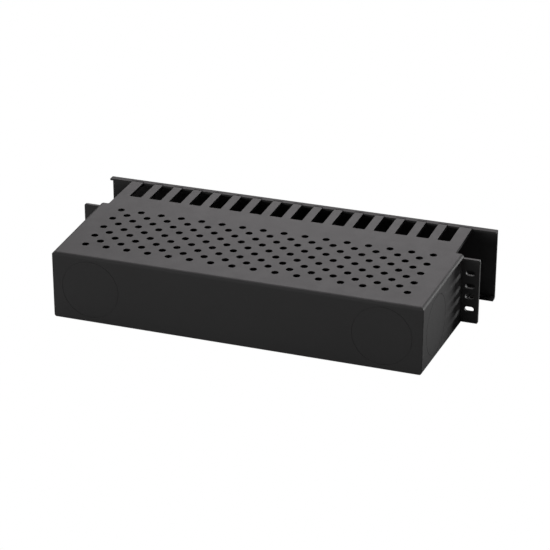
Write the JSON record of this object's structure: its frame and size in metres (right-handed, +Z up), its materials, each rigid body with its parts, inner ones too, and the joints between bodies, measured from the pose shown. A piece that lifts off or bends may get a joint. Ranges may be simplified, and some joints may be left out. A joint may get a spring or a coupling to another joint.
{
  "type": "horizontal cable manager",
  "caption": "Two-unit rack cable manager: a tapered, perforated plastic duct with finger combs, slotted rack ears and a clip-on front cover.",
  "frame": {"origin": "middle of the plane where the ears' rear faces meet the rack rails, half-way up the manager", "axes": "+X along the rack's width, +Y to the rear wall, into the rack, +Z up; the cover faces -Y"},
  "size_m": [0.4826, 0.2256, 0.0876],
  "materials": {
    "body_plastic": "fine matte grain",
    "cover_plastic": "fine matte grain"
  },
  "bodies": {
    "duct": {"body": "body_plastic"},
    "front_cover": {"cover": "cover_plastic"}
  },
  "joints": [
    {"name": "cover_pull", "type": "slide", "parent": "duct", "child": "front_cover", "axis": [0, -1, 0], "range_m": [0, 0.06]}
  ]
}
